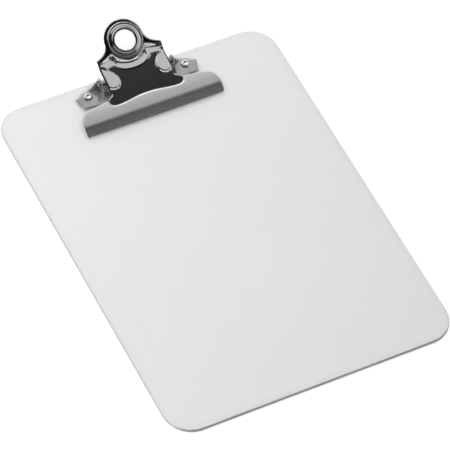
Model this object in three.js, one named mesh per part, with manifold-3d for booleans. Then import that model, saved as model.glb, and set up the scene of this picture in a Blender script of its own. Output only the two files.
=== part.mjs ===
// Letter-size clipboard: a clear plastic board with a sprung, plated steel clip.
//
// Frame, in millimetres: the origin is the centre of the board's back face, +X runs across the
// board, +Y runs along it towards the clip, and +Z points up out of the writing side.

import * as THREE from 'three';
import { mergeVertices } from 'three/addons/utils/BufferGeometryUtils.js';
import Module from 'manifold-3d';

// ---------------------------------------------------------------- driving dimensions

const GAP = 0.3; // left between pieces that touch

const BOARD = { width: 228.6, length: 317.5, thick: 2.5, corner: 22, bevel: 0.35 };

const SHEET = 0.8; // thickness of the pressed steel
const LEVER_SLOPE = 0.55; // rise of the finger lobe per unit of +Y

// The clip's hinge pin runs along X.
const PIN = { y: 148, z: 10.5, radius: 1.5, hole: 1.8, headRadius: 2.6, headThick: 1.1 };

// Jaw: a trough of one constant section, pressed down on the board by its front lip.
const JAW = { lipY: 110.5, lipZ: BOARD.thick + GAP, halfLip: 56.2, halfWidth: 56.9 };
const TURN = { y: 118, z: 8.7, slope: 0.19 }; // where the jaw's steep front levels out
const CREST = { y: 128, z: 10.3, slope: 0.105 }; // where the jaw turns up into the lever
const KNEE_Y = 150; // where the neck turns up into the finger lobe
const PAD_SLOPE = 0.18; // the two drop-shaped pads beside the neck

const LEVER = { halfWidth: 26.8, shoulderY: 161.5 };
const LOBE = { y: 170, radius: 16.3 };
const RING = { y: 169.05, z: 26.4, hole: 9.7 }; // hanging hole in the lobe
const EYELET = { bore: 8, barrel: 9.35, flange: 10.9, flangeThick: 0.9 };

// Base plate: two riveted tabs and two upright ears that carry the pin.
const EAR = { inner: 29.5, outer: 30.4, top: 16.8, topRadius: 3.4, footFront: 138.5, footRear: 155.5 };
const GUSSET = { foot: 37.8, rear: 151.4 }; // braces each ear from behind
const RIVET = { x: 40.6, y: 146, shank: 1.85, hole: 2.2, head: 3.6, headHigh: 1.3, bore: 1.1 };
const SINK = { radius: 4.5, depth: 1.3 }; // pocket in the board's back for a rivet's tail

// Springs: one torsion coil round the pin near each end.
const WIRE = 0.8; // radius of the spring wire
const COIL = { radius: 2.65, outerX: 24.6, innerX: 12.6, turns: 6 };

const SLIVER = 0.02; // facets thinner than this are merged into their neighbours
const BEYOND = 60; // a cut or an uncut blank reaches this far from the middle

const CHROME = { color: 0xb9bbbd, metalness: 1, roughness: 0.18 };

// ---------------------------------------------------------------- booleans

const wasm = await Module();
wasm.setup();

function toSolid(geometry) {
  geometry.deleteAttribute('normal');
  geometry.deleteAttribute('uv');
  const merged = mergeVertices(geometry, 1e-4);
  return new wasm.Manifold(new wasm.Mesh({
    numProp: 3,
    vertProperties: new Float32Array(merged.attributes.position.array),
    triVerts: new Uint32Array(merged.index.array),
  }));
}

function toGeometry(solid) {
  const mesh = solid.getMesh();
  const geometry = new THREE.BufferGeometry();
  geometry.setAttribute('position', new THREE.BufferAttribute(mesh.vertProperties, 3));
  geometry.setIndex(new THREE.BufferAttribute(mesh.triVerts, 1));
  geometry.computeVertexNormals();
  return geometry;
}

// ---------------------------------------------------------------- shape helpers

/** Extrudes a shape drawn in X and Y upwards from z = low to z = high. */
function slab(shape, low, high, curveSegments = 12) {
  const options = { depth: high - low, bevelEnabled: false, curveSegments };
  return new THREE.ExtrudeGeometry(shape, options).translate(0, 0, low);
}

/** Extrudes a shape drawn in Y and Z along X, from x = low to x = high. */
function sideSlab(shape, low, high, curveSegments = 12) {
  const geometry = slab(shape, low, high, curveSegments);
  // (u, v, depth) becomes (depth, u, v)
  const turn = new THREE.Matrix4().set(0, 0, 1, 0, 1, 0, 0, 0, 0, 1, 0, 0, 0, 0, 0, 1);
  return geometry.applyMatrix4(turn);
}

/** A cylinder along X. */
function rod(radius, low, high, y, z, segments = 24) {
  const geometry = new THREE.CylinderGeometry(radius, radius, high - low, segments);
  return geometry.rotateZ(-Math.PI / 2).translate((low + high) / 2, y, z);
}

/** A cylinder along Z. */
function post(radius, low, high, x, y, segments = 32) {
  const geometry = new THREE.CylinderGeometry(radius, radius, high - low, segments);
  return geometry.rotateX(Math.PI / 2).translate(x, y, (low + high) / 2);
}

/** Turns a profile of [radius, height] points round the Z axis. */
function turned(points, segments = 40) {
  const profile = points.map(([radius, height]) => new THREE.Vector2(radius, height));
  return new THREE.LatheGeometry(profile, segments).rotateX(Math.PI / 2);
}

/** The outline given for x >= 0, from front to back, closed by its mirror image. */
function mirrored(half) {
  const right = half.getPoints(10);
  const left = right.filter((p) => p.x > 1e-6).map((p) => new THREE.Vector2(-p.x, p.y));
  return new THREE.Shape([...right, ...left.reverse()]);
}

/** Places a piece drawn round the origin at the hanging hole, square to the lobe. */
function atRing(geometry) {
  return geometry.rotateX(Math.atan(LEVER_SLOPE)).translate(0, RING.y, RING.z);
}

// ---------------------------------------------------------------- top plate's surface

const lobeZ = (y) => RING.z + LEVER_SLOPE * (y - RING.y);
const KNEE_Z = lobeZ(KNEE_Y);
const TAIL_Y = LOBE.y + 20; // past the lobe's tip, where the outline trims it

/** Points [y, z] along the top plate's upper face, from the lip to past the lobe. */
function plateProfile() {
  const frontReach = 3.2; // how far each curve's handles reach along Y
  const rearReach = 3.3;
  const foot = new THREE.Vector2(JAW.lipY + 0.35, JAW.lipZ + 0.62);
  const turn = new THREE.Vector2(TURN.y, TURN.z);
  const crest = new THREE.Vector2(CREST.y, CREST.z);
  const front = new THREE.CubicBezierCurve(
    foot,
    new THREE.Vector2(foot.x + 2.6, foot.y + 3.4),
    new THREE.Vector2(turn.x - frontReach, turn.y - frontReach * TURN.slope),
    turn,
  );
  const rear = new THREE.CubicBezierCurve(
    turn,
    new THREE.Vector2(turn.x + rearReach, turn.y + rearReach * TURN.slope),
    new THREE.Vector2(crest.x - rearReach, crest.y - rearReach * CREST.slope),
    crest,
  );
  const neck = [new THREE.Vector2(KNEE_Y, KNEE_Z), new THREE.Vector2(TAIL_Y, lobeZ(TAIL_Y))];
  const lip = new THREE.Vector2(JAW.lipY, JAW.lipZ);
  return [lip, ...front.getPoints(10), ...rear.getPoints(4).slice(1), ...neck];
}

/** The closed section of the sheet: the upper face and the same line offset downwards. */
function sheetSection() {
  const upper = plateProfile();
  const normals = upper.map((p, i) => {
    const before = upper[Math.max(i - 1, 0)];
    const after = upper[Math.min(i + 1, upper.length - 1)];
    const along = after.clone().sub(before).normalize();
    return new THREE.Vector2(along.y, -along.x);
  });
  const lower = upper.map((p, i) => p.clone().addScaledVector(normals[i], SHEET));
  lower[0] = new THREE.Vector2(JAW.lipY + SHEET, JAW.lipZ); // the lip is cut flat on the board
  return new THREE.Shape([...upper, ...lower.reverse()]);
}

// ---------------------------------------------------------------- top plate

function plateOutline() {
  const half = new THREE.Path();
  half.moveTo(0, JAW.lipY - 5);
  half.lineTo(JAW.halfLip - 1, JAW.lipY - 5);
  half.lineTo(JAW.halfLip, JAW.lipY);
  half.quadraticCurveTo(JAW.halfWidth, JAW.lipY + 2, JAW.halfWidth, JAW.lipY + 5);
  half.bezierCurveTo(JAW.halfWidth, 123, 53, 129.3, 46, 129.6);
  half.lineTo(31, 131.6);
  half.lineTo(LEVER.halfWidth, 134.5); // relief where the side flange begins
  half.lineTo(LEVER.halfWidth, LEVER.shoulderY);
  half.lineTo(25, LEVER.shoulderY + 0.8);
  half.bezierCurveTo(21, 163.5, 16.9, 165.5, LOBE.radius, LOBE.y);
  // the round lobe, seen from above as an ellipse
  half.absellipse(0, LOBE.y, LOBE.radius, LOBE.radius * Math.cos(Math.atan(LEVER_SLOPE)), 0, Math.PI / 2);
  return mirrored(half);
}

/** A side flange, folded down from the lever's edge to the pin. */
function flange(side) {
  const outline = new THREE.Shape();
  outline.moveTo(136, 11.8);
  outline.lineTo(141, 8.4);
  outline.absarc(PIN.y, PIN.z, 4.2, Math.PI * 1.3, Math.PI * 1.75, false);
  outline.lineTo(156.5, 12.5);
  outline.lineTo(LEVER.shoulderY, 18.5);
  outline.lineTo(LEVER.shoulderY, lobeZ(LEVER.shoulderY) - 0.1);
  outline.lineTo(KNEE_Y, KNEE_Z - 0.1);
  const outer = LEVER.halfWidth;
  return sideSlab(outline, Math.min(side * outer, side * (outer - SHEET)),
    Math.max(side * outer, side * (outer - SHEET)));
}

/** A raised, nearly level pad beside the neck, broad in front and pointed behind. */
function pad(side) {
  const outline = new THREE.Shape();
  outline.moveTo(24.6, 157);
  outline.bezierCurveTo(20.5, 153, 15.8, 149.5, 15.8, 144.6);
  outline.bezierCurveTo(15.8, 140.6, 18.4, 138, 21.5, 138);
  outline.bezierCurveTo(24.2, 138, 26, 139.4, 26.4, 141.5);
  outline.lineTo(26.4, 155);
  const depth = 2.1;
  const geometry = slab(outline, -depth, 0, 6).translate(0, -KNEE_Y, 0);
  geometry.rotateX(Math.atan(PAD_SLOPE)).translate(0, KNEE_Y, KNEE_Z + 0.85);
  if (side < 0) {
    geometry.scale(-1, 1, 1);
    flipFaces(geometry);
  }
  return geometry;
}

/** Swaps two corners of each triangle, so that mirrored faces point out again. */
function flipFaces(geometry) {
  const position = geometry.attributes.position;
  for (let i = 0; i < position.count; i += 3) {
    for (const axis of ['X', 'Y', 'Z']) {
      const kept = position[`get${axis}`](i + 1);
      position[`set${axis}`](i + 1, position[`get${axis}`](i + 2));
      position[`set${axis}`](i + 2, kept);
    }
  }
}

function topPlate() {
  let plate = toSolid(sideSlab(sheetSection(), -BEYOND, BEYOND));
  plate = plate.intersect(toSolid(slab(plateOutline(), 0, BEYOND)));
  for (const side of [-1, 1]) {
    plate = plate.add(toSolid(flange(side)));
    plate = plate.add(toSolid(pad(side)));
  }
  plate = plate.subtract(toSolid(atRing(post(RING.hole, -BEYOND, BEYOND, 0, 0, 40))));
  plate = plate.subtract(toSolid(rod(PIN.hole, -BEYOND, BEYOND, PIN.y, PIN.z)));
  return plate.simplify(SLIVER);
}

// ---------------------------------------------------------------- base plate

function baseOutline() {
  const half = new THREE.Path();
  half.moveTo(0, 132);
  half.lineTo(32, 132);
  half.lineTo(34.5, 135.6);
  half.lineTo(47.4, 136.6);
  half.quadraticCurveTo(48.6, 142, 50.6, 147.4);
  half.lineTo(46.4, 149.9);
  half.lineTo(38, 154);
  half.lineTo(31, 156.6);
  half.lineTo(0, 156.6);
  return mirrored(half);
}

/** An upright ear with a round top, drawn in Y and Z. */
function earOutline() {
  const foot = BOARD.thick + GAP;
  const centreZ = EAR.top - EAR.topRadius;
  const ear = new THREE.Shape();
  ear.moveTo(EAR.footFront, foot);
  ear.lineTo(EAR.footRear, foot);
  ear.absarc(PIN.y, centreZ, EAR.topRadius, Math.PI * 0.12, Math.PI * 0.88, false);
  return ear;
}

/** A triangular brace across the back of an ear, sloping down to the tab. */
function gusset(side) {
  const foot = BOARD.thick + GAP;
  const brace = new THREE.Shape();
  brace.moveTo(side * EAR.inner, foot);
  brace.lineTo(side * GUSSET.foot, foot);
  brace.lineTo(side * GUSSET.foot, foot + SHEET);
  brace.lineTo(side * EAR.outer, EAR.top - EAR.topRadius);
  brace.lineTo(side * EAR.inner, EAR.top - EAR.topRadius);
  return slab(brace, -SHEET, 0).rotateX(Math.PI / 2).translate(0, GUSSET.rear - SHEET, 0);
}

function basePlate() {
  const low = BOARD.thick + GAP;
  let plate = toSolid(slab(baseOutline(), low, low + SHEET));
  for (const side of [-1, 1]) {
    const faces = [side * EAR.inner, side * EAR.outer].sort((a, b) => a - b);
    plate = plate.add(toSolid(sideSlab(earOutline(), faces[0], faces[1])));
    plate = plate.add(toSolid(gusset(side)));
    plate = plate.subtract(toSolid(post(RIVET.hole, 0, 8, side * RIVET.x, RIVET.y)));
  }
  return plate.subtract(toSolid(rod(PIN.hole, -BEYOND, BEYOND, PIN.y, PIN.z)));
}

// ---------------------------------------------------------------- board

function boardSolid() {
  const { width, length, thick, corner, bevel } = BOARD;
  const w = width / 2 - bevel;
  const l = length / 2 - bevel;
  const r = corner - bevel;
  const outline = new THREE.Shape();
  outline.absarc(w - r, l - r, r, 0, Math.PI / 2, false);
  outline.absarc(-w + r, l - r, r, Math.PI / 2, Math.PI, false);
  outline.absarc(-w + r, -l + r, r, Math.PI, Math.PI * 1.5, false);
  outline.absarc(w - r, -l + r, r, Math.PI * 1.5, Math.PI * 2, false);
  const geometry = new THREE.ExtrudeGeometry(outline, {
    depth: thick - 2 * bevel,
    bevelEnabled: true,
    bevelThickness: bevel,
    bevelSize: bevel,
    bevelSegments: 2,
    curveSegments: 14,
  }).translate(0, 0, bevel);
  let board = toSolid(geometry);
  for (const side of [-1, 1]) {
    board = board.subtract(toSolid(post(RIVET.hole, -1, 4, side * RIVET.x, RIVET.y)));
    board = board.subtract(toSolid(post(SINK.radius, -1, SINK.depth, side * RIVET.x, RIVET.y)));
  }
  return board;
}

// ---------------------------------------------------------------- turned and wound pieces

/** A semi-tubular rivet: a dimpled round head above, a set tail in the board's back. */
function rivet() {
  const seat = BOARD.thick + GAP + SHEET + GAP;
  const { shank, head, headHigh, bore } = RIVET;
  const tailLow = 0.4;
  const tailHigh = SINK.depth - GAP;
  return turned([
    [0, 2.7],
    [bore, 2.5],
    [bore, tailLow],
    [3.2, tailLow],
    [3.7, tailHigh],
    [shank, tailHigh],
    [shank, seat],
    [head, seat],
    [head - 0.2, seat + 0.6],
    [head - 1, seat + headHigh - 0.15],
    [head - 1.7, seat + headHigh],
    [1.3, seat + headHigh - 0.4],
    [0, seat + headHigh - 0.6],
  ], 28);
}

/** The hinge pin, with a head formed outside each ear. */
function pinSolid() {
  const { radius, headRadius, headThick } = PIN;
  const inside = EAR.outer + GAP;
  const outside = inside + headThick;
  const end = [[0, -outside], [headRadius - 0.7, -outside], [headRadius, -outside + 0.6],
    [headRadius, -inside], [radius, -inside]];
  const other = end.map(([r, h]) => [r, -h]).reverse();
  return turned([...end, ...other], 24).rotateY(Math.PI / 2).translate(0, PIN.y, PIN.z);
}

/** A rolled eyelet that lines the hanging hole. */
function eyeletSolid() {
  const { bore, barrel, flange: wide, flangeThick } = EYELET;
  const under = -SHEET - GAP;
  return atRing(turned([
    [bore, under - flangeThick],
    [wide - 0.4, under - flangeThick],
    [wide, under - 0.4],
    [wide, under],
    [barrel, under],
    [barrel, GAP],
    [wide, GAP],
    [wide, GAP + 0.4],
    [wide - 0.7, GAP + flangeThick],
    [bore + 0.8, GAP + flangeThick],
    [bore, GAP + 0.2],
    [bore, under - flangeThick],
  ], 40));
}

/** A tube of spring wire with flat ends, swept along a list of points. */
function wireAlong(points, steps) {
  const section = new THREE.Shape();
  section.absarc(0, 0, WIRE, 0, Math.PI * 2, false);
  const path = new THREE.CatmullRomCurve3(points, false, 'centripetal');
  return new THREE.ExtrudeGeometry(section, { steps, extrudePath: path, curveSegments: 4 });
}

/**
 * A torsion spring: a leg on the base plate at the coil's outer end, the coil round the pin,
 * and a leg bent up under the lever at the coil's inner end.
 */
function springSolid(side) {
  const at = (x, y, z) => new THREE.Vector3(side * x, y, z);
  const onCoil = (x, angle) => at(x, PIN.y + COIL.radius * Math.cos(angle), PIN.z + COIL.radius * Math.sin(angle));
  const start = THREE.MathUtils.degToRad(-110);
  const finish = THREE.MathUtils.degToRad(104) - 2 * Math.PI * COIL.turns;
  const baseTop = BOARD.thick + GAP + SHEET;
  const points = [at(COIL.outerX, 156, baseTop + GAP + WIRE), at(COIL.outerX, 151.5, 6.2)];
  const perTurn = 12;
  const count = COIL.turns * perTurn;
  for (let i = 0; i <= count; i++) {
    const t = i / count;
    const x = THREE.MathUtils.lerp(COIL.outerX, COIL.innerX, t);
    points.push(onCoil(x, THREE.MathUtils.lerp(start, finish, t)));
  }
  points.push(at(COIL.innerX, 150.3, 13.75), at(COIL.innerX, 155, 16.2), at(COIL.innerX, 161, 19.5));
  return wireAlong(points, 108);
}

// ---------------------------------------------------------------- assembly

const clipboard = new THREE.Group();

function addPiece(name, geometry, look) {
  const mesh = new THREE.Mesh(geometry, new THREE.MeshStandardMaterial(look));
  mesh.name = name;
  clipboard.add(mesh);
  return mesh;
}

addPiece('board', toGeometry(boardSolid()), {
  color: 0xf1f3f3, metalness: 0, roughness: 0.08, transparent: true, opacity: 0.45,
});
addPiece('base_plate', toGeometry(basePlate()), CHROME);
addPiece('top_plate', toGeometry(topPlate()), CHROME);
addPiece('hanging_eyelet', eyeletSolid(), CHROME);
addPiece('pivot_pin', pinSolid(), { ...CHROME, roughness: 0.3 });
for (const [suffix, side] of [['left', -1], ['right', 1]]) {
  addPiece(`spring_${suffix}`, springSolid(side), { color: 0x8d8f92, metalness: 1, roughness: 0.35 });
  const mesh = addPiece(`rivet_${suffix}`, rivet(), { ...CHROME, roughness: 0.25 });
  mesh.position.set(side * RIVET.x, RIVET.y, 0);
}

export default clipboard;
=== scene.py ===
import math

import bpy
import numpy as np
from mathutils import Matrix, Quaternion, Vector
from mathutils.geometry import delaunay_2d_cdt


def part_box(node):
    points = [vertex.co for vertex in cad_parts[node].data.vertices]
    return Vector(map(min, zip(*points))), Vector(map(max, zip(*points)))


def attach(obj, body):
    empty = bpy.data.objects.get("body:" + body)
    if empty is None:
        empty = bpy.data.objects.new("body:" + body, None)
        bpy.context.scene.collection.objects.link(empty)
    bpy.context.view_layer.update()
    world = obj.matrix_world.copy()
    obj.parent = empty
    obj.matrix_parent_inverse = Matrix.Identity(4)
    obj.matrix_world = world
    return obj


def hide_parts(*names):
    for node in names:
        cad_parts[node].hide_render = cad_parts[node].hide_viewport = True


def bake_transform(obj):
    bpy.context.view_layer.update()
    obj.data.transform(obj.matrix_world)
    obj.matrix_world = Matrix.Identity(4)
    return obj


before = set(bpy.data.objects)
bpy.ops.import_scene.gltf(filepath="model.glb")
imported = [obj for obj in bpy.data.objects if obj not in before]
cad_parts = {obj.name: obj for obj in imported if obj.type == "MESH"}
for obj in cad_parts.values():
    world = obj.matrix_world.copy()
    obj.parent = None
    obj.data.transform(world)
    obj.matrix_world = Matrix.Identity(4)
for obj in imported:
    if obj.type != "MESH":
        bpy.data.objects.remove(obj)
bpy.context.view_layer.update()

# ------------------------------------------------------------------ sizes
# Shapes are drawn in millimetres in the frame's axes and go into the meshes in metres.

MM = 0.001
SHEET = 0.8  # thickness of the pressed steel
GAP = 0.3  # left between pieces that touch


def corners(node):
    """A node's lowest and highest corner, in millimetres."""
    low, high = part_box(node)
    return np.array(low) / MM, np.array(high) / MM


board_low, board_high = corners("board")
plate_low, _ = corners("top_plate")
base_low, base_high = corners("base_plate")
pin_low, pin_high = corners("pivot_pin")
ring_low, ring_high = corners("hanging_eyelet")
rivet_low, rivet_high = corners("rivet_right")

LIP_Y = plate_low[1]  # the jaw's front edge
LIP_Z = board_high[2] + GAP
PIN_Y = (pin_low[1] + pin_high[1]) / 2
PIN_Z = (pin_low[2] + pin_high[2]) / 2

LEAN = math.atan(0.55)  # the finger lobe's rise towards the back
RING_UNDER = 0.4  # the hanging eyelet's middle lies this far below the lobe's face
RING_Y = (ring_low[1] + ring_high[1]) / 2 - RING_UNDER * math.sin(LEAN)
RING_Z = (ring_low[2] + ring_high[2]) / 2 + RING_UNDER * math.cos(LEAN)

CREST_Y = LIP_Y + 17.5  # where the jaw levels out
CREST_Z = LIP_Z + 7.5
CREST_SLOPE = 0.105  # the jaw's rise at its crest
TURN_SLOPE = 0.19  # and where its steep front turns over
PAN_SLOPE = 0.2555  # the dark, pressed-in neck
PAN_DEPTH = 0.3
PAD_RISE = 0.18  # the slope of the drop-shaped pad on each side of the neck
PAD_LIFT = 0.86  # its height over the knee
LEDGE_RISE = 0.15  # the slope of the raised ledge below the lobe
LEDGE_SPREAD = 0.14  # and its rise towards its sides,
LEDGE_LEVEL = 8.0  # which starts this far from the middle
KNEE_Y = PIN_Y + 2  # where the neck turns up into the finger lobe
KNEE_Z = RING_Z + math.tan(LEAN) * (KNEE_Y - RING_Y)
LEVER_HALF = 26.8  # half the width over the side flanges
FLANGE_Y = 135.0  # the flanges start here,
FLANGE_EASE = 1.4  # coming in over this far on both sides,
SHOULDER_Y = PIN_Y + 13.5  # and end here
BEND = 1.6  # outer radius of the fold between the lever and its side flanges
FOLD_FROM = LEVER_HALF - BEND  # where the fold starts in the flat pattern
FOLD_LENGTH = BEND * math.pi / 2  # and how wide it is there
LOBE_Y = RING_Y + 1  # the middle of the lobe's round end
LOBE_RADIUS = 15.75
RING_FLAT = math.cos(LEAN)  # a circle on the lobe is this much shorter seen from above

BEAD = 13.3  # radius of the fine raised ring round the hanging hole
BEAD_HALF = 0.7
BEAD_SLOPE = 0.75
BOSS = 12.6  # inside it the lobe rises in a low cone
BOSS_TOP = 10.6
BOSS_SLOPE = 0.36
RIM_WIDE = 1.3  # the lobe's edge is rolled down a little all round
RIM_SLOPE = 0.3
LOBE_HOLE = 9.7  # radius of the plate's hole, behind the eyelet
STEP_HALF = 0.5  # half the width of the step at the edge of the neck, a pad or the ledge
LOBE_STEP_HALF = 0.75

RIVET_X = (rivet_low[0] + rivet_high[0]) / 2
RIVET_Y = (rivet_low[1] + rivet_high[1]) / 2
RIVET_HOLE = 2.2
PIN_HOLE = 1.8
EAR_OUTER = 30.4  # the ears' outer faces
BRACE_FRONT = 150.6  # the front faces of the braces behind them


# ------------------------------------------------------------------ curves and masks

def bezier(start, first, second, end, count=16):
    """Points along a cubic curve, without its start."""
    t = np.linspace(0, 1, count + 1)[1:, None]
    a, b, c, d = (np.array(p, float) for p in (start, first, second, end))
    return (1 - t) ** 3 * a + 3 * t * (1 - t) ** 2 * b + 3 * t * t * (1 - t) * c + t ** 3 * d


def arc(centre, radii, start, end, count=24):
    """Points along an ellipse between two angles in degrees."""
    angle = np.radians(np.linspace(start, end, count + 1))
    return np.column_stack([centre[0] + radii[0] * np.cos(angle), centre[1] + radii[1] * np.sin(angle)])


def circle(centre, radius, count, flat=1.0):
    """A closed loop: a circle, or an ellipse whose second axis is flat times the first."""
    return arc(centre, (radius, radius * flat), 0, 360, count)[:-1]


def joined(*parts):
    """One list of points from points and lists of points."""
    return np.vstack([np.atleast_2d(np.array(part, float)) for part in parts])


def mirrored(half):
    """A closed loop from its half at x >= 0, drawn from the front to the back."""
    left = half[half[:, 0] > 1e-6][::-1] * [-1, 1]
    return np.vstack([half, left])


def resampled(loop, pitch):
    """The closed loop with its corners kept and no side longer than pitch."""
    points = []
    for start, end in zip(loop, np.roll(loop, -1, axis=0)):
        count = max(1, math.ceil(np.linalg.norm(end - start) / pitch))
        points.extend(start + (end - start) * k / count for k in range(count))
    return np.array(points)


def inside(points, loop):
    """Which points lie inside the closed loop."""
    hit = np.zeros(len(points), bool)
    for (x0, y0), (x1, y1) in zip(loop, np.roll(loop, -1, axis=0)):
        if y0 == y1:
            continue
        spans = (points[:, 1] < y0) != (points[:, 1] < y1)
        hit ^= spans & (points[:, 0] < x0 + (points[:, 1] - y0) * (x1 - x0) / (y1 - y0))
    return hit


def depth_inside(points, loop):
    """Distance to the loop, positive inside it and negative outside."""
    nearest = np.full(len(points), np.inf)
    for start, end in zip(loop, np.roll(loop, -1, axis=0)):
        along = end - start
        t = np.clip((points - start) @ along / max(along @ along, 1e-12), 0, 1)
        nearest = np.minimum(nearest, np.hypot(*(points - start - t[:, None] * along).T))
    return np.where(inside(points, loop), nearest, -nearest)


def ease(low, high, value):
    """0 up to low, 1 from high on, and a smooth rise between them."""
    t = np.clip((value - low) / (high - low), 0, 1)
    return t * t * (3 - 2 * t)


def mix(first, second, share):
    """The first where share is 0, the second where it is 1."""
    return first + (second - first) * share


# ------------------------------------------------------------------ mesh building

def make_object(name, vertices, faces, materials, material_index=None):
    """A smooth-shaded object from vertices in millimetres."""
    mesh = bpy.data.meshes.new(name)
    mesh.from_pydata((np.array(vertices) * MM).tolist(), [], [tuple(map(int, f)) for f in faces])
    for material in materials:
        mesh.materials.append(material)
    if material_index is not None:
        mesh.polygons.foreach_set("material_index", np.array(material_index, dtype=np.int32))
    mesh.polygons.foreach_set("use_smooth", [True] * len(mesh.polygons))
    mesh.validate()
    mesh.update()
    piece = bpy.data.objects.new(name, mesh)
    bpy.context.scene.collection.objects.link(piece)
    return piece


def interior_points(loops, pitch):
    """A triangular grid of points inside the first loop, outside the others and clear of them all."""
    low, high = loops[0].min(0), loops[0].max(0)
    rows = np.arange(low[1], high[1], pitch * math.sqrt(0.75))
    grid = []
    for number, y in enumerate(rows):
        x = np.arange(low[0], high[0], pitch) + (number % 2) * pitch / 2
        grid.append(np.column_stack([x, np.full(len(x), y)]))
    grid = np.vstack(grid)
    clear = 0.6 * pitch
    grid = grid[depth_inside(grid, loops[0]) > clear]
    for loop in loops[1:]:
        grid = grid[depth_inside(grid, loop) < -clear]
    return grid


def sheet_mesh(loops, extra, surface, thickness, bulge, floor_z=None):
    """Vertices, faces and flat points of a sheet: an outline and its holes, filled, placed by
    surface(points) and given a thickness below it and rounded rims.

    loops holds the outline and then its holes, extra the flat points between them. Each face comes
    with the flat point of its middle, so that a material can be chosen by place."""
    flat = np.vstack([*loops, extra])
    edges, start = [], 0
    for loop in loops:
        ids = np.arange(start, start + len(loop))
        edges += list(zip(ids.tolist(), np.roll(ids, -1).tolist()))
        start += len(loop)
    filled = delaunay_2d_cdt([Vector(p) for p in flat], edges, [], 0, 1e-5, False)
    points, triangles = filled[0], filled[2]
    points = np.array([tuple(p) for p in points])
    triangles = np.array(triangles)
    middle = points[triangles].mean(1)
    keep = inside(middle, loops[0])
    for loop in loops[1:]:
        keep &= ~inside(middle, loop)
    triangles = triangles[keep]
    a, b, c = (points[triangles[:, k]] for k in range(3))
    turn = (b[:, 0] - a[:, 0]) * (c[:, 1] - a[:, 1]) - (b[:, 1] - a[:, 1]) * (c[:, 0] - a[:, 0])
    triangles[turn < 0] = triangles[turn < 0][:, ::-1]

    place, normal = placed(surface, points)
    count = len(points)
    vertices = [place, place - normal * thickness]
    faces = [triangles, triangles[:, ::-1] + count]
    where = [points[triangles].mean(1)] * 2
    total = 2 * count
    rim_steps = 4
    for number, loop in enumerate(loops):
        ring = nearest_ids(points, loop)
        area = np.sum(loop[:, 0] * np.roll(loop[:, 1], -1) - np.roll(loop[:, 0], -1) * loop[:, 1])
        if (area > 0) == (number > 0):
            ring = ring[::-1]
        along = place[np.roll(ring, -1)] - place[np.roll(ring, 1)]
        outward = np.cross(along, normal[ring])
        outward /= np.linalg.norm(outward, axis=1)[:, None]
        rows = [ring]
        for step in range(1, rim_steps):
            angle = math.pi * step / rim_steps
            sunk = thickness * (1 - math.cos(angle)) / 2
            vertices.append(place[ring] + outward * bulge * math.sin(angle) - normal[ring] * sunk)
            rows.append(np.arange(total, total + len(ring)))
            total += len(ring)
        rows.append(ring + count)
        for upper, lower in zip(rows, rows[1:]):
            after = np.roll(upper, -1)
            under_after = np.roll(lower, -1)
            faces.append(np.column_stack([upper, lower, under_after, after]))
            where.append(points[ring])
    vertices = np.vstack(vertices)
    if floor_z is not None:
        vertices[:, 2] = np.maximum(vertices[:, 2], floor_z)
    return vertices, [face for block in faces for face in block.tolist()], np.vstack(where)


def placed(surface, points):
    """Where surface puts the flat points, and the unit normals there."""
    step = 0.02
    east = surface(points + [step, 0]) - surface(points - [step, 0])
    north = surface(points + [0, step]) - surface(points - [0, step])
    normal = np.cross(east, north)
    return surface(points), normal / np.linalg.norm(normal, axis=1)[:, None]


def nearest_ids(points, wanted):
    """The index of the point nearest to each wanted one."""
    return np.array([int(np.argmin(np.hypot(*(points - w).T))) for w in wanted])


def lathe(profile, segments):
    """Vertices and faces of a closed [radius, height] loop turned round Z."""
    profile = np.array(profile, float)
    angles = 2 * math.pi * np.arange(segments) / segments
    vertices = np.vstack([
        np.column_stack([profile[:, 0] * math.cos(a), profile[:, 0] * math.sin(a), profile[:, 1]])
        for a in angles
    ])
    rows = len(profile)
    faces = []
    for s in range(segments):
        here, there = s * rows, (s + 1) % segments * rows
        for k in range(rows):
            after = (k + 1) % rows
            faces.append((here + k, there + k, there + after, here + after))
    return vertices, faces


def solid_lathe(profile, segments):
    """A turned solid whose open profile starts and ends on the axis."""
    profile = np.array(profile, float)
    ring = profile[1:-1]
    angles = 2 * math.pi * np.arange(segments) / segments
    vertices = [[0, 0, profile[0][1]], [0, 0, profile[-1][1]]]
    for a in angles:
        vertices += [[r * math.cos(a), r * math.sin(a), h] for r, h in ring]
    rows = len(ring)
    faces = []
    for s in range(segments):
        here, there = 2 + s * rows, 2 + (s + 1) % segments * rows
        faces.append((0, there, here))
        faces += [(here + k, there + k, there + k + 1, here + k + 1) for k in range(rows - 1)]
        faces.append((here + rows - 1, there + rows - 1, 1))
    return np.array(vertices), faces


def rounded(points, radius, steps=4):
    """An open line of [radius, height] points with its inner corners rounded."""
    points = np.array(points, float)
    out = [points[0]]
    for before, corner, after in zip(points, points[1:], points[2:]):
        back = before - corner
        ahead = after - corner
        reach = min(radius, 0.45 * np.linalg.norm(back), 0.45 * np.linalg.norm(ahead))
        start = corner + back / np.linalg.norm(back) * reach
        end = corner + ahead / np.linalg.norm(ahead) * reach
        for k in range(steps + 1):
            t = k / steps
            out.append((1 - t) ** 2 * start + 2 * t * (1 - t) * corner + t * t * end)
    out.append(points[-1])
    return np.array(out)


# ------------------------------------------------------------------ materials

TINT_BAND = (0.35, 0.65)  # the part of a noise texture's range that a colour follows
ROUGH_BAND = (0.3, 0.7)  # and the part that a roughness follows


def new_material(name):
    """A material with its nodes, its links and its shader."""
    material = bpy.data.materials.new(name)
    material.use_nodes = True
    nodes = material.node_tree.nodes
    return material, nodes, material.node_tree.links, nodes["Principled BSDF"]


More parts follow.
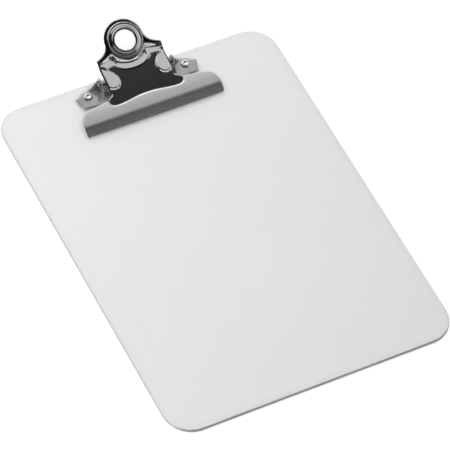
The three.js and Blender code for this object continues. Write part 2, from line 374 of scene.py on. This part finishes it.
def noise(nodes, links, scale, detail=3.0, stretch=None):
    """A noise texture in the object's own space."""
    coordinates = nodes.new("ShaderNodeTexCoord")
    texture = nodes.new("ShaderNodeTexNoise")
    texture.inputs["Scale"].default_value = scale
    texture.inputs["Detail"].default_value = detail
    source = coordinates.outputs["Object"]
    if stretch:
        mapping = nodes.new("ShaderNodeMapping")
        mapping.inputs["Scale"].default_value = stretch
        links.new(source, mapping.inputs["Vector"])
        source = mapping.outputs["Vector"]
    links.new(source, texture.inputs["Vector"])
    return texture.outputs["Fac"]


def ramp(nodes, links, source, low, high, low_value, high_value):
    """source between low and high, turned into a value between two others."""
    node = nodes.new("ShaderNodeMapRange")
    node.inputs["From Min"].default_value = low
    node.inputs["From Max"].default_value = high
    node.inputs["To Min"].default_value = low_value
    node.inputs["To Max"].default_value = high_value
    links.new(source, node.inputs["Value"])
    return node.outputs["Result"]


def tint(nodes, links, shader, source, dark, light):
    """A base colour between two greys, chosen by source."""
    node = nodes.new("ShaderNodeValToRGB")
    for element, position, colour in zip(node.color_ramp.elements, TINT_BAND, (dark, light)):
        element.position = position
        element.color = (*colour, 1)
    links.new(source, node.inputs["Fac"])
    links.new(node.outputs["Color"], shader.inputs["Base Color"])


def roughen(nodes, links, shader, source, smooth, rough):
    """A roughness between two values, chosen by source."""
    links.new(ramp(nodes, links, source, *ROUGH_BAND, smooth, rough), shader.inputs["Roughness"])


def bump(nodes, links, shader, source, strength, distance):
    """Small unevenness of a surface, taken from source."""
    node = nodes.new("ShaderNodeBump")
    node.inputs["Strength"].default_value = strength
    node.inputs["Distance"].default_value = distance
    links.new(source, node.inputs["Height"])
    links.new(node.outputs["Normal"], shader.inputs["Normal"])


def steel(name, dark, light, smooth, rough, grain=None, waviness=0.04, metallic=1.0):
    """Steel with a cloudy sheen and fine rubbed marks, which a small scale in grain stretches."""
    material, nodes, links, shader = new_material(name)
    shader.inputs["Metallic"].default_value = metallic
    cloud = noise(nodes, links, 90.0, 4.0)
    tint(nodes, links, shader, cloud, dark, light)
    rubbed = noise(nodes, links, 900.0, 4.0, grain or (1.0, 1.0, 1.0))
    roughen(nodes, links, shader, rubbed, smooth, rough)
    bump(nodes, links, shader, rubbed, waviness, 0.0001)
    return material


SATIN = steel("satin_steel", (0.91, 0.91, 0.915), (0.95, 0.95, 0.955), 0.33, 0.39, (0.25, 2.5, 1.0), 0.01)
BRIGHT = steel("bright_steel", (0.85, 0.85, 0.86), (0.90, 0.90, 0.905), 0.05, 0.09, None, 0.006)
TABS = steel("tab_steel", (0.38, 0.38, 0.385), (0.47, 0.47, 0.475), 0.10, 0.16, None, 0.01, 0.75)
PIN_STEEL = steel("pin_steel", (0.40, 0.40, 0.41), (0.55, 0.55, 0.56), 0.22, 0.34, None, 0.06)
WIRE_STEEL = steel("wire_steel", (0.42, 0.42, 0.43), (0.58, 0.58, 0.60), 0.20, 0.32, (1.0, 3.0, 3.0), 0.06)


def painted_shade_edges():
    """Nearly black painted shade, laid on the plate's folds, cut edges and lip."""
    material, nodes, links, shader = new_material("painted_shade_edges")
    patches = noise(nodes, links, 400.0, 3.0)
    tint(nodes, links, shader, patches, (0.012, 0.012, 0.012), (0.03, 0.03, 0.031))
    roughen(nodes, links, shader, patches, 0.45, 0.6)
    shader.inputs["Specular IOR Level"].default_value = 0.15
    return material


# Painted shade: a nearly black colour for the plate's folds, cut edges and lip.
PAINTED_SHADE_EDGES = painted_shade_edges()

# Painted light: the board's grey runs from the lighter one at the back left to the darker one towards the
# front right.
BOARD_PAINTED_SHADE = (0.44, 0.445, 0.45)  # towards the front right corner
BOARD_PAINTED_LIGHT = (0.66, 0.665, 0.67)
BOARD_ALPHA = 0.29
FRONT_EDGE_SHADE_ALPHA = 0.92  # the front edge gets the heaviest painted shade
EDGE_SHADE_ALPHA = 0.32
EDGE_SHADE_FADE = 0.012  # metres over which the front edge's painted shade fades
PLASTIC_IOR = 1.49


def clear_plastic():
    """Clear, slightly grey plastic that lets the surface below show through. Its grey is painted light,
    lighter at the back left and darker towards the front right.
    """
    material, nodes, links, shader = new_material("clear_plastic")
    coordinates = nodes.new("ShaderNodeTexCoord")
    across = nodes.new("ShaderNodeVectorMath")
    across.operation = "DOT_PRODUCT"
    across.inputs[1].default_value = (-0.45, 0.9, 0.0)
    links.new(coordinates.outputs["Object"], across.inputs[0])
    cloud = noise(nodes, links, 9.0, 2.0)
    wander = nodes.new("ShaderNodeMath")
    wander.operation = "MULTIPLY_ADD"
    wander.inputs[1].default_value = 0.02
    links.new(cloud, wander.inputs[0])
    links.new(across.outputs["Value"], wander.inputs[2])
    # Painted light falloff across the board, from the back left to the front right.
    painted_falloff = ramp(nodes, links, wander.outputs["Value"], -0.19, 0.21, *TINT_BAND)
    tint(nodes, links, shader, painted_falloff, BOARD_PAINTED_SHADE, BOARD_PAINTED_LIGHT)
    roughen(nodes, links, shader, noise(nodes, links, 70.0, 3.0), 0.05, 0.11)
    bump(nodes, links, shader, noise(nodes, links, 14.0, 2.0), 0.03, 0.0005)
    shader.inputs["IOR"].default_value = PLASTIC_IOR
    shader.inputs["Alpha"].default_value = BOARD_ALPHA
    return material


def board_edge():
    """The board's sawn and polished edge, given a darker grey of painted shade that is heaviest along the
    front edge.
    """
    material, nodes, links, shader = new_material("plastic_edge")
    cloud = noise(nodes, links, 60.0, 3.0, (1.0, 1.0, 6.0))
    tint(nodes, links, shader, cloud, (0.14, 0.145, 0.15), (0.22, 0.225, 0.23))
    fine = noise(nodes, links, 300.0, 4.0)
    roughen(nodes, links, shader, fine, 0.18, 0.32)
    bump(nodes, links, shader, fine, 0.08, 0.0002)
    shader.inputs["IOR"].default_value = PLASTIC_IOR
    place = nodes.new("ShaderNodeSeparateXYZ")
    links.new(nodes.new("ShaderNodeTexCoord").outputs["Object"], place.inputs["Vector"])
    front = board_low[1] * MM
    # Painted shade: the edge's grey is most opaque along the front edge.
    alpha = ramp(nodes, links, place.outputs["Y"], front, front + EDGE_SHADE_FADE, FRONT_EDGE_SHADE_ALPHA, EDGE_SHADE_ALPHA)
    links.new(alpha, shader.inputs["Alpha"])
    return material


def floor_material():
    """A matt, nearly white floor."""
    material, nodes, links, shader = new_material("pale_floor")
    cloud = noise(nodes, links, 3.0, 2.0)
    tint(nodes, links, shader, cloud, (0.90, 0.90, 0.90), (0.92, 0.92, 0.92))
    shader.inputs["Roughness"].default_value = 0.9
    shader.inputs["Specular IOR Level"].default_value = 0.1
    return material


# ------------------------------------------------------------------ board

BOARD_CORNER = 22.0  # radius of the corners
EDGE_ROUND = 0.6  # how far the rounded edge stands out
RIVET_CLEAR = 4.5  # radius round a rivet hole that gets no grid points


def build_board():
    """The clear board: a round-cornered sheet with rounded edges, drilled for the two rivets."""
    half_width = board_high[0] - EDGE_ROUND
    half_length = board_high[1] - EDGE_ROUND
    radius = BOARD_CORNER - EDGE_ROUND
    outline = []
    for number, (sx, sy) in enumerate([(1, 1), (-1, 1), (-1, -1), (1, -1)]):
        centre = (sx * (half_width - radius), sy * (half_length - radius))
        outline.append(arc(centre, (radius, radius), 90 * number, 90 * number + 90, 40))
    outline = resampled(np.vstack(outline), 4.0)
    holes = [circle((side * RIVET_X, RIVET_Y), RIVET_HOLE, 28) for side in (-1, 1)]
    collars = [circle((side * RIVET_X, RIVET_Y), RIVET_CLEAR, 36) for side in (-1, 1)]
    top = board_high[2]
    grid = interior_points([outline, *collars], 6.0)

    def level(points):
        return np.column_stack([points, np.full(len(points), top)])

    extra = np.vstack([grid, *collars])
    vertices, faces, _ = sheet_mesh([outline, *holes], extra, level, top, EDGE_ROUND)
    on_edge = []  # the rim's faces lie between the two flat sides
    for face in faces:
        heights = vertices[list(face), 2]
        on_edge.append(int(heights.min() < top - 0.1 and heights.max() > 0.1 or heights.std() > 0.05))
    return make_object("clear_board", vertices, faces, [clear_plastic(), board_edge()], on_edge)


# ------------------------------------------------------------------ clip plate

def jaw_line():
    """Points [y, z] along the jaw: steep at its lip, then nearly level to beyond its crest."""
    lip = np.array([LIP_Y, LIP_Z])
    foot = lip + (0.35, 0.62)
    turn = lip + (7.5, 5.9)
    crest = np.array([CREST_Y, CREST_Z])
    over_turn = np.array([1, TURN_SLOPE])  # the jaw's direction where it turns over
    over_crest = np.array([1, CREST_SLOPE])
    front = bezier(foot, foot + (2.6, 3.4), turn - 3.2 * over_turn, turn, 60)
    rear = bezier(turn, turn + 3.3 * over_turn, crest - 3.3 * over_crest, crest, 30)
    return joined(lip, foot, front, rear, crest + 20 * over_crest)


JAW = jaw_line()

# Areas of the plate seen from above. Each is drawn for x >= 0 from the front to the back.
BEYOND = 60.0  # well outside the plate
FINE_FROM = 124.2  # the jaw in front of this needs only a coarse mesh
GRID_CLEAR = 0.7  # the fine grid keeps this far from the steps' own points
neck_area = mirrored(joined(
    (0, 127.9),
    bezier((0, 127.9), (10, 127.9), (16, 125.5), (25, 125.5)),
    bezier((25, 125.5), (28.8, 125.5), (30.8, 127), (30.8, 129.6)),
    (31.2, 132.4), (BEYOND, 133), (BEYOND, 200), (0, 200),
))
drop_pad = joined(
    (24.6, 157),
    bezier((24.6, 157), (20.5, 153), (15.8, 149.5), (15.8, 144.6)),
    bezier((15.8, 144.6), (15.8, 140.6), (18.4, 138), (21.5, 138)),
    bezier((21.5, 138), (24.2, 138), (26, 139.4), (26.4, 141.5)),
    (30, 142.5), (30, 157),
)
ledge_area = mirrored(joined(
    arc((0, RING_Y), (22, 22 * RING_FLAT), 270, 314.8),
    (22, 154.3), (24.2, 156.7), (30, 156.9), (BEYOND, 157), (BEYOND, 200), (0, 200),
))
lobe_area = mirrored(joined(
    arc((0, RING_Y), (15.6, 15.6 * RING_FLAT), 270, 332),
    (24.8, 158.9), (30, 158.6), (BEYOND, 158.6), (BEYOND, 200), (0, 200),
))
rear_edge = joined(
    (25, 162.1),
    bezier((25, 162.1), (21, 163.3), (16.8, 165.5), (LOBE_RADIUS, LOBE_Y), 12),
    arc((0, LOBE_Y), (LOBE_RADIUS, LOBE_RADIUS * RING_FLAT), 0, 90, 30)[1:],
)
rear_area = mirrored(joined((0, 100), (BEYOND, 100), (BEYOND, 162.1), rear_edge))


def plate_height(x, y):
    """Height of the clip plate's upper face at a point seen from above."""
    here = np.column_stack([x, y])
    away = np.column_stack([np.abs(x), y])
    z = np.interp(y, JAW[:, 0], JAW[:, 1])
    pan = CREST_Z - PAN_DEPTH + PAN_SLOPE * (y - CREST_Y)
    z = mix(z, pan, ease(-STEP_HALF, STEP_HALF, depth_inside(here, neck_area)))
    pad = KNEE_Z + PAD_RISE * (y - KNEE_Y) + PAD_LIFT
    z = mix(z, pad, ease(-STEP_HALF, STEP_HALF, depth_inside(away, drop_pad)))
    ledge = KNEE_Z + LEDGE_RISE * (y - KNEE_Y) + LEDGE_SPREAD * np.maximum(away[:, 0] - LEDGE_LEVEL, 0)
    z = mix(z, ledge, ease(-STEP_HALF, STEP_HALF, depth_inside(here, ledge_area)))
    lobe = RING_Z + math.tan(LEAN) * (y - RING_Y)
    z = mix(z, lobe, ease(-LOBE_STEP_HALF, LOBE_STEP_HALF, depth_inside(here, lobe_area)))
    margin = np.clip(RIM_WIDE - depth_inside(here, rear_area), 0, RIM_WIDE)
    z = z - RIM_SLOPE * margin * ease(0, 0.4, margin)
    radius = np.hypot(x, (y - RING_Y) / RING_FLAT)
    bead = BEAD_SLOPE * np.clip(BEAD_HALF - np.abs(radius - BEAD), 0, None)
    boss = BOSS_SLOPE * np.clip(BOSS - radius, 0, BOSS - BOSS_TOP)
    return z + (bead + boss) / RING_FLAT


def plate_surface(points):
    """Places the flat pattern: the lever's sides fold down into flanges."""
    u, y = points[:, 0], points[:, 1]
    away = np.abs(u)
    beyond = np.maximum(away - FOLD_FROM, 0)
    turn = np.minimum(beyond / BEND, math.pi / 2)
    down = BEND * (1 - np.cos(turn)) + np.maximum(beyond - FOLD_LENGTH, 0)
    folded = np.minimum(away, FOLD_FROM) + BEND * np.sin(turn)
    share = ease(FLANGE_Y - FLANGE_EASE, FLANGE_Y + FLANGE_EASE, y)
    x = np.sign(u) * mix(away, folded, share)
    z = plate_height(x, y) - down * share
    return np.column_stack([x, y, z])


def flange_point(y, z):
    """The flat-pattern place of a point [y, z] on a side flange."""
    top = plate_height(np.array([LEVER_HALF]), np.array([float(y)]))[0]
    drop = top - z
    if drop < BEND:
        return (FOLD_FROM + BEND * math.acos(max(0.0, 1 - drop / BEND)), y)
    return (FOLD_FROM + FOLD_LENGTH + drop - BEND, y)


def plate_outline():
    """The flat pattern's outline."""
    lip = LIP_Y + 0.35
    flange = joined(
        (136, 11.6), (141, 8.4), arc((PIN_Y, PIN_Z), (4.2, 4.2), 234, 315, 12), (156.5, 12.5),
        (161, 18.1), (SHOULDER_Y, 18.9),
    )
    closed = resampled(flange, 0.6)  # closed at its end, which the outline doesn't need
    last = int(np.argmin(np.hypot(*(closed - flange[-1]).T)))
    wing = np.array([flange_point(y, z) for y, z in closed[:last + 1]])
    half = joined(
        (0, lip), (56.1, lip),
        bezier((56.1, lip), (56.4, 111.6), (56.7, 113.3), (56.7, 115.5), 8),
        bezier((56.7, 115.5), (56.7, 123), (52.9, 129.1), (46, 129.4), 24),
        (31, 131.4), (26.5, 134.3), (26.5, 135.4), wing, (26.2, SHOULDER_Y + 0.1), rear_edge,
    )
    return mirrored(half)


def beside(loop, offsets, pitch=0.5):
    """Points along a loop and at the given distances to its sides."""
    line = resampled(loop, pitch)
    along = np.roll(line, -1, axis=0) - np.roll(line, 1, axis=0)
    across = along[:, ::-1] * [1, -1] / np.linalg.norm(along, axis=1)[:, None]
    return np.vstack([line + across * offset for offset in offsets])


def thinned(points, spacing):
    """The points with all but one left out of each small square."""
    _, first = np.unique(np.round(points / spacing), axis=0, return_index=True)
    return points[np.sort(first)]


def fold_lines():
    """Points along the folds between the lever and its flanges."""
    lines = []
    for share in np.linspace(0, 1, 9):
        across = FOLD_FROM + FOLD_LENGTH * share
        y = np.arange(FLANGE_Y - 0.4, SHOULDER_Y - 0.2, 0.6)
        lines.append(np.column_stack([np.full(len(y), across), y]))
    right = np.vstack(lines)
    return np.vstack([right, right * [-1, 1]])


def build_clip_plate():
    """The clip's pressed plate, meshed more finely where its face turns sharply."""
    outline = resampled(plate_outline(), 0.7)
    ring_hole = circle((0, RING_Y), LOBE_HOLE, 72, RING_FLAT)
    pin_hole = np.array([flange_point(y, z) for y, z in circle((PIN_Y, PIN_Z), PIN_HOLE, 24)])
    loops = [outline, ring_hole, pin_hole, pin_hole[::-1] * [-1, 1]]
    pads = [drop_pad, drop_pad * [-1, 1]]
    steps = [neck_area, ledge_area, *pads]
    contours = [beside(loop, (-STEP_HALF, -0.25, 0, 0.25, STEP_HALF)) for loop in steps]
    contours.append(beside(lobe_area, (-LOBE_STEP_HALF, -0.4, 0, 0.4, LOBE_STEP_HALF)))
    contours.append(fold_lines())
    for radius in (BOSS_TOP, BOSS, *np.linspace(BEAD - BEAD_HALF, BEAD + BEAD_HALF, 7)):
        contours.append(circle((0, RING_Y), radius, 150, RING_FLAT))
    contours = thinned(np.vstack(contours), 0.14)
    for number, loop in enumerate(loops):
        side = -1 if number else 1
        contours = contours[side * depth_inside(contours, loop) > 0.25]
    coarse = interior_points(loops, 0.9)
    coarse = coarse[coarse[:, 1] < FINE_FROM]
    fine = interior_points(loops, 0.5)
    fine = fine[fine[:, 1] >= FINE_FROM]
    for loop in (*steps, lobe_area):
        fine = fine[np.abs(depth_inside(fine, loop)) > GRID_CLEAR]
    radius = np.hypot(fine[:, 0], (fine[:, 1] - RING_Y) / RING_FLAT)
    fine = fine[np.abs(radius - BEAD) > GRID_CLEAR]
    extra = np.vstack([coarse, fine, contours])
    vertices, faces, where = sheet_mesh(loops, extra, plate_surface, SHEET, 0.2, LIP_Z - 0.05)

    # The folds, the cut edges and the lip get dark painted shade, the neck and all behind it bright steel.
    across = (np.abs(where[:, 0]) - FOLD_FROM) / FOLD_LENGTH
    folded = (across > 0.125) & (across < 0.75) & (where[:, 1] > FLANGE_Y + 0.5)
    cut_edge = depth_inside(where, outline) < 0.01
    finish = np.where(depth_inside(where, neck_area) > 0, 1, 0)
    at_lip = where[:, 1] < LIP_Y + 0.8
    # Painted shade: nearly black on the folds, the cut edges and the lip.
    finish[folded | cut_edge | at_lip] = 2
    return make_object("clip_plate", vertices, faces, [SATIN, BRIGHT, PAINTED_SHADE_EDGES], finish)


# ------------------------------------------------------------------ base plate

def base_surface(points):
    """Places flat points on the base plate's upper face."""
    return np.column_stack([points, np.full(len(points), base_low[2] + SHEET)])


def with_mesh(gathered, mesh):
    """The vertices and faces gathered so far, and the mesh's own after them."""
    vertices, faces = gathered
    start = len(vertices)
    return np.vstack([vertices, mesh[0]]), faces + [tuple(i + start for i in face) for face in mesh[1]]


def flipped(mesh):
    """The vertices and faces of the mesh's mirror image across the frame's middle."""
    return mesh[0] * [-1, 1, 1], [tuple(reversed(face)) for face in mesh[1]]


def build_base_plate():
    """The base plate: a flat plate with two riveted tabs, an ear and a brace on each side."""
    half = joined(
        (0, 132.2), (31.9, 132.2), (34.4, 135.8), (47.2, 136.8),
        bezier((47.2, 136.8), (48.2, 140.3), (49.6, 143.8), (50.3, 147.3), 8),
        (46.3, 149.7), (37.9, 153.8), (30.9, 156.4), (0, 156.4),
    )
    outline = resampled(mirrored(half), 1.0)
    loops = [outline, *(circle((side * RIVET_X, RIVET_Y), RIVET_HOLE, 32) for side in (-1, 1))]
    gathered = sheet_mesh(loops, interior_points(loops, 1.4), base_surface, SHEET, 0.18)[:2]
    foot = base_low[2] + 0.1
    round_z = base_high[2] - 3.4
    ear = resampled(joined(
        (138.6, foot), (155.4, foot), arc((PIN_Y, round_z), (3.2, 3.2), 21.6, 158.4, 16),
    ), 0.8)
    pin_hole = circle((PIN_Y, PIN_Z), PIN_HOLE, 24)
    brace = resampled(joined(
        (EAR_OUTER - 0.4, foot), (37.7, foot), (37.7, foot + 0.7), (EAR_OUTER - 0.1, round_z),
        (EAR_OUTER - 0.4, round_z),
    ), 0.8)

    def ear_face(points):
        return np.column_stack([np.full(len(points), EAR_OUTER), points])

    def brace_face(points):
        return np.column_stack([points[:, 0], np.full(len(points), BRACE_FRONT), points[:, 1]])

    upright = sheet_mesh([ear, pin_hole], interior_points([ear, pin_hole], 1.2), ear_face, SHEET, 0.15)
    corner = sheet_mesh([brace], interior_points([brace], 1.2), brace_face, SHEET, 0.1)
    for mesh in (upright, corner):
        gathered = with_mesh(gathered, mesh)
        gathered = with_mesh(gathered, flipped(mesh))
    return make_object("base_plate_steel", *gathered, [TABS])


# ------------------------------------------------------------------ turned pieces

def at_ring(vertices):
    """Moves a piece drawn round the origin to the hanging hole, square to the lobe."""
    cos, sin = math.cos(LEAN), math.sin(LEAN)
    x, y, z = vertices.T
    return np.column_stack([x, RING_Y + y * cos - z * sin, RING_Z + y * sin + z * cos])


def build_eyelet():
    """The rolled eyelet that lines the hanging hole."""
    lift = 0.62  # the plate is raised round the hole
    under = -SHEET - 0.1
    profile = joined(
        (9.35, under), (9.35, lift + 0.05),
        arc((9.1, lift + 0.05), (1.4, 1.1), 0, 180, 20),
        arc((8.5, under - 0.45), (0.8, 0.75), 180, 270, 8),
        arc((10.4, under - 0.7), (0.5, 0.5), 270, 380, 6),
    )
    vertices, faces = lathe(profile, 96)
    return make_object("hanging_ring", at_ring(vertices), faces, [BRIGHT])


def build_rivet(name, side):
    """A semi-tubular rivet: a dimpled round head above and a rolled tail in the board's back."""
    seat = base_low[2] + SHEET + 0.12
    top = rivet_high[2]
    profile = rounded([
        (0, 2.7), (1.1, 2.5), (1.1, 0.45), (3.1, 0.45), (3.6, 0.95), (1.85, 1.0), (1.85, seat), (3.6, seat),
        (3.45, seat + 0.6), (2.7, top - 0.1), (1.8, top), (1.3, top - 0.5), (0, top - 0.75),
    ], 0.35)
    vertices, faces = solid_lathe(profile, 48)
    return make_object(name, vertices + [side * RIVET_X, RIVET_Y, 0], faces, [BRIGHT])


def build_pin():
    """The hinge pin, with a domed head formed at each end."""
    reach = pin_high[0]
    neck = reach - 1.1
    end = [
        (0, -reach), (1.6, -reach + 0.05), (2.5, -reach + 0.6),
        (2.6, -neck - 0.1), (2.5, -neck), (1.5, -neck),
    ]
    profile = rounded(joined(end, [(r, -h) for r, h in reversed(end)]), 0.3)
    vertices, faces = solid_lathe(profile, 40)
    turned = np.column_stack([vertices[:, 2], vertices[:, 1] + PIN_Y, -vertices[:, 0] + PIN_Z])
    return make_object("hinge_pin", turned, faces, [PIN_STEEL])


# ------------------------------------------------------------------ springs

WIRE_RADIUS = 0.78
COIL_RADIUS = 2.65
COIL_OUTER = 24.6  # the coil's ends, measured from the middle of the clip
COIL_INNER = 12.6
TURNS = 6
TURN_POINTS = 28
WIRE_SIDES = 12


def spring_route(side):
    """Points along a spring: a leg on the base plate, the coil round the pin, a leg under the lever."""
    start = math.radians(-110)
    finish = math.radians(104) - 2 * math.pi * TURNS
    count = TURNS * TURN_POINTS
    points = [(COIL_OUTER, y, z) for y, z in [(156, 4.75), (154, 5.25), (151.5, 6.1)]]
    for k in range(count + 1):
        t = k / count
        angle = start + (finish - start) * t
        x = COIL_OUTER + (COIL_INNER - COIL_OUTER) * t
        points.append((x, PIN_Y + COIL_RADIUS * math.cos(angle), PIN_Z + COIL_RADIUS * math.sin(angle)))
    leg = [(150.3, 13.55), (153, 14.75), (155, 15.8), (158, 17.4), (161, 19.1)]
    points += [(COIL_INNER, y, z) for y, z in leg]
    return np.array(points) * [side, 1, 1]


def build_spring(name, side):
    """A tube of wire swept along the spring's route, with rounded ends."""
    route = spring_route(side)
    along = np.gradient(route, axis=0)
    along /= np.linalg.norm(along, axis=1)[:, None]
    normal = np.cross(along[0], [1.0, 0, 0])
    angles = 2 * math.pi * np.arange(WIRE_SIDES) / WIRE_SIDES
    rings = []
    for point, direction in zip(route, along):
        normal = normal - direction * (normal @ direction)
        normal /= np.linalg.norm(normal)
        across = np.cross(direction, normal)
        spokes = np.outer(np.cos(angles), normal) + np.outer(np.sin(angles), across)
        rings.append(point + WIRE_RADIUS * spokes)
    caps = []
    for ring, middle, direction in ((rings[0], route[0], -along[0]), (rings[-1], route[-1], along[-1])):
        caps.append([middle + (ring - middle) * 0.7 + direction * 0.2, middle + direction * 0.25])
    rows = [caps[0][0], *rings, caps[1][0]]
    vertices = np.vstack([*rows, caps[0][1], caps[1][1]])
    faces = []
    for row in range(len(rows) - 1):
        here, there = row * WIRE_SIDES, (row + 1) * WIRE_SIDES
        for k in range(WIRE_SIDES):
            after = (k + 1) % WIRE_SIDES
            faces.append((here + k, here + after, there + after, there + k))
    first = len(rows) * WIRE_SIDES
    last = first + 1
    base = first - WIRE_SIDES
    for k in range(WIRE_SIDES):
        after = (k + 1) % WIRE_SIDES
        faces.append((first, after, k))
        faces.append((last, base + k, base + after))
    return make_object(name, vertices, faces, [WIRE_STEEL])


# ------------------------------------------------------------------ assembly

def settle(piece, node, body):
    """The piece stands for a CAD node and rides on its body."""
    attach(piece, body)
    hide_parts(node)


settle(build_board(), "board", "board_body")
settle(build_base_plate(), "base_plate", "board_body")
settle(build_clip_plate(), "top_plate", "clip_body")
settle(build_eyelet(), "hanging_eyelet", "clip_body")
settle(build_pin(), "pivot_pin", "board_body")
for suffix, side in (("left", -1), ("right", 1)):
    settle(build_rivet("rivet_head_" + suffix, side), "rivet_" + suffix, "board_body")
    coil = build_spring("spring_wire_" + suffix, side)
    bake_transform(coil)
    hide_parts("spring_" + suffix)


# ------------------------------------------------------------------ floor, light and camera

# From here on sizes are in metres.
FLOOR_SIZE = 6.0
FLOOR_DROP = 0.0002  # so that the floor and the board's back don't share a plane


def build_floor():
    """A square floor just under the board."""
    mesh = bpy.data.meshes.new("floor")
    half = FLOOR_SIZE / 2
    square = [(x * half, y * half, -FLOOR_DROP) for x, y in [(-1, -1), (1, -1), (1, 1), (-1, 1)]]
    mesh.from_pydata(square, [], [(0, 1, 2, 3)])
    mesh.materials.append(floor_material())
    floor = bpy.data.objects.new("floor", mesh)
    bpy.context.scene.collection.objects.link(floor)


def level_curve(nodes, links, source, stops):
    """A curve through [value, level] stops, for source from -1 to 1."""
    node = nodes.new("ShaderNodeValToRGB")
    links.new(ramp(nodes, links, source, -1.0, 1.0, 0.0, 1.0), node.inputs["Fac"])
    elements = node.color_ramp.elements
    while len(elements) < len(stops):
        elements.new(0.5)
    for element, (value, level) in zip(elements, stops):
        element.position = (value + 1) / 2
        element.color = (level, level, level, 1)
    return node.outputs["Color"]


# Light from the studio's walls: [direction's Y or X, brightness].
BACK_WALL = [
    (-1.0, 0.075), (-0.48, 0.07), (-0.42, 0.004), (-0.25, 0.004), (0.06, 0.018), (0.14, 0.03),
    (0.2, 0.45), (0.26, 0.56), (0.58, 0.57), (0.68, 1.5), (1.0, 1.6),
]
RIGHT_WALL = [(-1.0, 0.0), (0.5, 0.0), (0.6, 0.45), (0.9, 0.6), (0.96, 1.5), (1.0, 1.6)]
HORIZON_LOW = 0.12  # both walls start above a dark horizon
HORIZON_HIGH = 0.42
LAMPS = [
    ("overhead_lamp", (-0.3, -0.1, 1.9), 2.2, 47.0),
    ("front_lamp", (-0.3, -1.5, 1.5), 1.4, 12.0),
]


def blended(nodes, links, how, first, second):
    """Two colours combined in full by one of the mix node's ways."""
    node = nodes.new("ShaderNodeMix")
    node.data_type = "RGBA"
    node.blend_type = how
    node.inputs["Factor"].default_value = 1.0
    links.new(first, node.inputs["A"])
    links.new(second, node.inputs["B"])
    return node.outputs["Result"]


def build_studio():
    """A dark studio with a bright wall behind and another on the right, and soft lamps overhead."""
    world = bpy.data.worlds.new("studio")
    bpy.context.scene.world = world
    world.use_nodes = True
    nodes, links = world.node_tree.nodes, world.node_tree.links
    background = nodes["Background"]
    coordinates = nodes.new("ShaderNodeTexCoord")
    parts = nodes.new("ShaderNodeSeparateXYZ")
    links.new(coordinates.outputs["Generated"], parts.inputs["Vector"])
    back = level_curve(nodes, links, parts.outputs["Y"], BACK_WALL)
    right = level_curve(nodes, links, parts.outputs["X"], RIGHT_WALL)
    walls = blended(nodes, links, "LIGHTEN", back, right)
    above = ramp(nodes, links, parts.outputs["Z"], HORIZON_LOW, HORIZON_HIGH, 0.0, 1.0)
    links.new(blended(nodes, links, "MULTIPLY", walls, above), background.inputs["Color"])
    for name, place, size, power in LAMPS:
        data = bpy.data.lights.new(name, "AREA")
        data.shape = "SQUARE"
        data.size = size
        data.energy = power
        lamp = bpy.data.objects.new(name, data)
        lamp.location = place
        lamp.rotation_mode = "QUATERNION"
        lamp.rotation_quaternion = Vector(place).to_track_quat("Z", "Y")
        lamp.visible_glossy = False
        lamp.visible_camera = False
        bpy.context.scene.collection.objects.link(lamp)


# The camera stands in front of the board on its left, with a long lens.
CAMERA_AZIMUTH = math.radians(-30.34)
CAMERA_ELEVATION = math.radians(52.58)
CAMERA_ROLL = math.radians(5.18)
CAMERA_DISTANCE = 2.7163
CAMERA_LENS = 295.3  # millimetres, on a sensor this wide:
CAMERA_SENSOR = 36.0
CAMERA_AIM = Vector((0.0019, -0.0016, 0.0))


def build_camera():
    """The camera that the photo was taken with, as solved from the board's edges."""
    level = math.cos(CAMERA_ELEVATION)
    back = Vector((
        math.sin(CAMERA_AZIMUTH) * level, -math.cos(CAMERA_AZIMUTH) * level, math.sin(CAMERA_ELEVATION),
    ))
    data = bpy.data.cameras.new("camera")
    data.lens = CAMERA_LENS
    data.sensor_width = CAMERA_SENSOR
    data.clip_start = 0.1
    data.clip_end = 20.0
    camera = bpy.data.objects.new("camera", data)
    camera.location = CAMERA_AIM + back * CAMERA_DISTANCE
    camera.rotation_mode = "QUATERNION"
    camera.rotation_quaternion = back.to_track_quat("Z", "Y") @ Quaternion((0, 0, 1), CAMERA_ROLL)
    bpy.context.scene.collection.objects.link(camera)
    bpy.context.scene.camera = camera


build_floor()
build_studio()
build_camera()
bpy.context.scene.view_settings.view_transform = "Standard"
